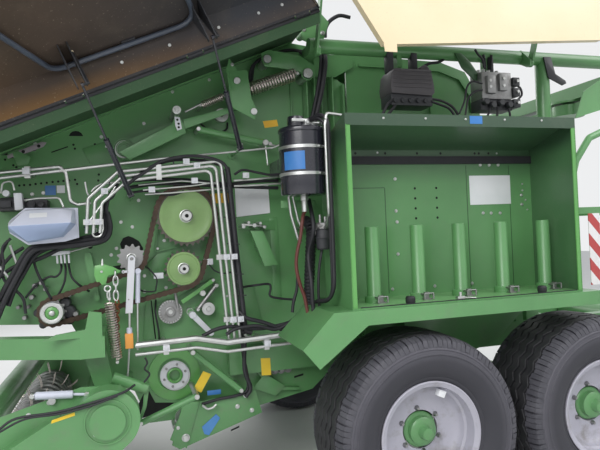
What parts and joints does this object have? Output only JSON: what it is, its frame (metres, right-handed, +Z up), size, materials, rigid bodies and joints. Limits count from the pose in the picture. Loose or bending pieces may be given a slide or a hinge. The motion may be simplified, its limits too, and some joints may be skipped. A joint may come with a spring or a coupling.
{
  "type": "round baler with bale wrapper",
  "caption": "Towed round baler with film-roll stores and a rear bale wrapper on a tandem axle, with its left service hood and film-box lid open.",
  "frame": {"origin": "on the ground under the parking jack's foot", "axes": "+X to the machine's rear, +Y to its right, +Z up"},
  "size_m": [7.2, 3.9278, 3.626],
  "materials": {
    "paint_green": "gloss, weathered",
    "paint_cream": "gloss",
    "tyre_rubber": "matte",
    "gauge_rubber": "matte",
    "rim_silver": "satin",
    "bare_steel": "zinc plated",
    "chain_steel": "oily",
    "black_paint": "gloss",
    "dark_plastic": "matte",
    "grey_plastic": "satin",
    "lamp_body": "gloss"
  },
  "bodies": {
    "frame": {"chassis_frame": "paint_green", "drawbar": "paint_green", "towing_eye": "bare_steel", "bogie_axle": "paint_green", "side_walls": "paint_green", "lift_brackets": "paint_green", "slat_conveyor_front": "paint_green", "roof_cover": "paint_cream", "front_cover": "paint_cream", "film_boxes": "paint_green", "roll_spigots": "paint_green", "mudguards": "paint_green", "sprockets": "paint_green", "drive_chain": "chain_steel", "gearbox": "paint_green", "bearing_rings": "bare_steel", "tension_arms": "paint_green", "tension_springs": "bare_steel", "oil_tank": "black_paint", "valve_blocks": "dark_plastic", "control_cover": "grey_plastic", "rigid_pipes": "bare_steel", "wall_brackets": "paint_green", "indicator_bar": "bare_steel", "portal_frame": "paint_green", "side_guards": "paint_green", "rear_lamps": "lamp_body"},
    "wheel_front_left": {"tyre_front_left": "tyre_rubber", "rim_front_left": "rim_silver"},
    "wheel_front_right": {"tyre_front_right": "tyre_rubber", "rim_front_right": "rim_silver"},
    "wheel_rear_left": {"tyre_rear_left": "tyre_rubber", "rim_rear_left": "rim_silver"},
    "wheel_rear_right": {"tyre_rear_right": "tyre_rubber", "rim_rear_right": "rim_silver"},
    "jack": {"jack_leg": "bare_steel"},
    "pickup": {"pickup_frame": "paint_green"},
    "pickup_reel": {"pickup_reel": "paint_green"},
    "gauge_wheel_left": {"gauge_wheel_left": "gauge_rubber"},
    "gauge_wheel_right": {"gauge_wheel_right": "gauge_rubber"},
    "feed_rotor": {"feed_rotor": "paint_green"},
    "tailgate": {"tailgate": "paint_green", "slat_conveyor_rear": "paint_green"},
    "lift_barrels": {"lift_barrels": "paint_green"},
    "lift_rods": {"lift_rods": "bare_steel"},
    "hood_left": {"hood_left": "paint_cream"},
    "strut_barrels_left": {"strut_barrels_left": "black_paint"},
    "strut_rods_left": {"strut_rods_left": "bare_steel"},
    "lid_arms_left": {"lid_arms_left": "paint_green"},
    "lid_left": {"lid_left": "paint_cream"},
    "hood_right": {"hood_right": "paint_cream"},
    "strut_barrels_right": {"strut_barrels_right": "black_paint"},
    "strut_rods_right": {"strut_rods_right": "bare_steel"},
    "lid_arms_right": {"lid_arms_right": "paint_green"},
    "lid_right": {"lid_right": "paint_cream"},
    "wrapper": {"wrapper_arms": "paint_green", "film_dispensers": "grey_plastic"},
    "wrap_table": {"wrap_table": "paint_green"},
    "table_roller_front": {"table_roller_front": "paint_green"},
    "table_roller_rear": {"table_roller_rear": "paint_green"}
  },
  "joints": [
    {"name": "wheel_front_left_spin", "type": "hinge", "parent": "frame", "child": "wheel_front_left", "pos_m": [3.35, -1.21, 0.529], "axis": [0, 1, 0], "continuous": true},
    {"name": "wheel_front_right_spin", "type": "hinge", "parent": "frame", "child": "wheel_front_right", "pos_m": [3.35, 1.21, 0.529], "axis": [0, 1, 0], "continuous": true},
    {"name": "wheel_rear_left_spin", "type": "hinge", "parent": "frame", "child": "wheel_rear_left", "pos_m": [4.48, -1.21, 0.529], "axis": [0, 1, 0], "continuous": true},
    {"name": "wheel_rear_right_spin", "type": "hinge", "parent": "frame", "child": "wheel_rear_right", "pos_m": [4.48, 1.21, 0.529], "axis": [0, 1, 0], "continuous": true},
    {"name": "jack_retract", "type": "slide", "parent": "frame", "child": "jack", "axis": [0, 0, 1], "range_m": [0, 0.4]},
    {"name": "pickup_lift", "type": "hinge", "parent": "frame", "child": "pickup", "pos_m": [1.751, 0, 0.756], "axis": [0, 1, 0], "range_deg": [-10, 8]},
    {"name": "pickup_reel_spin", "type": "hinge", "parent": "pickup", "child": "pickup_reel", "pos_m": [1.25, 0, 0.43], "axis": [0, 1, 0], "continuous": true},
    {"name": "gauge_wheel_left_spin", "type": "hinge", "parent": "pickup", "child": "gauge_wheel_left", "pos_m": [1.45, -1.315, 0.35], "axis": [0, 1, 0], "continuous": true},
    {"name": "gauge_wheel_right_spin", "type": "hinge", "parent": "pickup", "child": "gauge_wheel_right", "pos_m": [1.45, 1.315, 0.35], "axis": [0, 1, 0], "continuous": true},
    {"name": "feed_rotor_spin", "type": "hinge", "parent": "frame", "child": "feed_rotor", "pos_m": [2.113, 0, 0.817], "axis": [0, 1, 0], "continuous": true},
    {"name": "tailgate_lift", "type": "hinge", "parent": "frame", "child": "tailgate", "pos_m": [3.26, 0, 2.7], "axis": [0, -1, 0], "range_deg": [0, 50]},
    {"name": "lift_barrel_swing", "type": "hinge", "parent": "frame", "child": "lift_barrels", "pos_m": [3.33, 0, 1.12], "axis": [0, -1, 0], "range_deg": [-2.53, 0]},
    {"name": "lift_rod_slide", "type": "slide", "parent": "lift_barrels", "child": "lift_rods", "axis": [0.2725, 0, 0.9622], "range_m": [0, 0.50215]},
    {"name": "hood_left_swing", "type": "hinge", "parent": "frame", "child": "hood_left", "pos_m": [0.95, -1.2, 1.999], "axis": [0.922, 0, 0.3872], "range_deg": [0, 115]},
    {"name": "strut_swing_left", "type": "hinge", "parent": "frame", "child": "strut_barrels_left", "pos_m": [1.89779, -0.93, 1.85468], "axis": [0.922, 0, 0.3872], "range_deg": [-8.65, 0]},
    {"name": "strut_slide_left", "type": "slide", "parent": "strut_barrels_left", "child": "strut_rods_left", "axis": [-0.299, -0.6353, 0.7121], "range_m": [-0.24204, 0]},
    {"name": "lid_raise_left", "type": "hinge", "parent": "frame", "child": "lid_arms_left", "pos_m": [2.945, -1.04, 2.64], "axis": [1, 0, 0], "range_deg": [0, 136.43]},
    {"name": "lid_level_left", "type": "hinge", "parent": "lid_arms_left", "child": "lid_left", "pos_m": [2.945, -1.29981, 3.29], "axis": [1, 0, 0], "range_deg": [-136.44, 0]},
    {"name": "hood_right_swing", "type": "hinge", "parent": "frame", "child": "hood_right", "pos_m": [0.95, 1.2, 1.999], "axis": [0.922, 0, 0.3872], "range_deg": [0, 115]},
    {"name": "strut_swing_right", "type": "hinge", "parent": "frame", "child": "strut_barrels_right", "pos_m": [1.89779, 0.93, 1.85468], "axis": [0.922, 0, 0.3872], "range_deg": [-8.65, 0]},
    {"name": "strut_slide_right", "type": "slide", "parent": "strut_barrels_right", "child": "strut_rods_right", "axis": [-0.332, 0.5145, 0.7906], "range_m": [0, 0.24204]},
    {"name": "lid_raise_right", "type": "hinge", "parent": "frame", "child": "lid_arms_right", "pos_m": [2.945, 1.04, 2.64], "axis": [1, 0, 0], "range_deg": [0, 136.43]},
    {"name": "lid_level_right", "type": "hinge", "parent": "lid_arms_right", "child": "lid_right", "pos_m": [2.945, 1.29981, 1.99], "axis": [1, 0, 0], "range_deg": [-136.44, 0]},
    {"name": "wrapper_spin", "type": "hinge", "parent": "frame", "child": "wrapper", "pos_m": [5.6, 0, 2.58], "axis": [0, 0, 1], "continuous": true},
    {"name": "table_tip", "type": "hinge", "parent": "frame", "child": "wrap_table", "pos_m": [6.01, 0, 0.64], "axis": [0, 1, 0], "range_deg": [0, 30]},
    {"name": "table_roller_front_spin", "type": "hinge", "parent": "wrap_table", "child": "table_roller_front", "pos_m": [5.2, 0, 0.76], "axis": [0, 1, 0], "continuous": true},
    {"name": "table_roller_rear_spin", "type": "hinge", "parent": "wrap_table", "child": "table_roller_rear", "pos_m": [6, 0, 0.76], "axis": [0, 1, 0], "continuous": true}
  ],
  "couplings": [
    {"joint": "lift_barrel_swing", "follows": "tailgate_lift", "ratio": -0.049597},
    {"joint": "lift_rod_slide", "follows": "tailgate_lift", "m_per_rad": 0.57256},
    {"joint": "strut_swing_left", "follows": "hood_left_swing", "ratio": -0.073708},
    {"joint": "strut_slide_left", "follows": "hood_left_swing", "m_per_rad": -0.11999},
    {"joint": "lid_level_left", "follows": "lid_raise_left", "ratio": -1},
    {"joint": "strut_swing_right", "follows": "hood_right_swing", "ratio": -0.073708},
    {"joint": "strut_slide_right", "follows": "hood_right_swing", "m_per_rad": 0.11999},
    {"joint": "lid_level_right", "follows": "lid_raise_right", "ratio": -1}
  ]
}
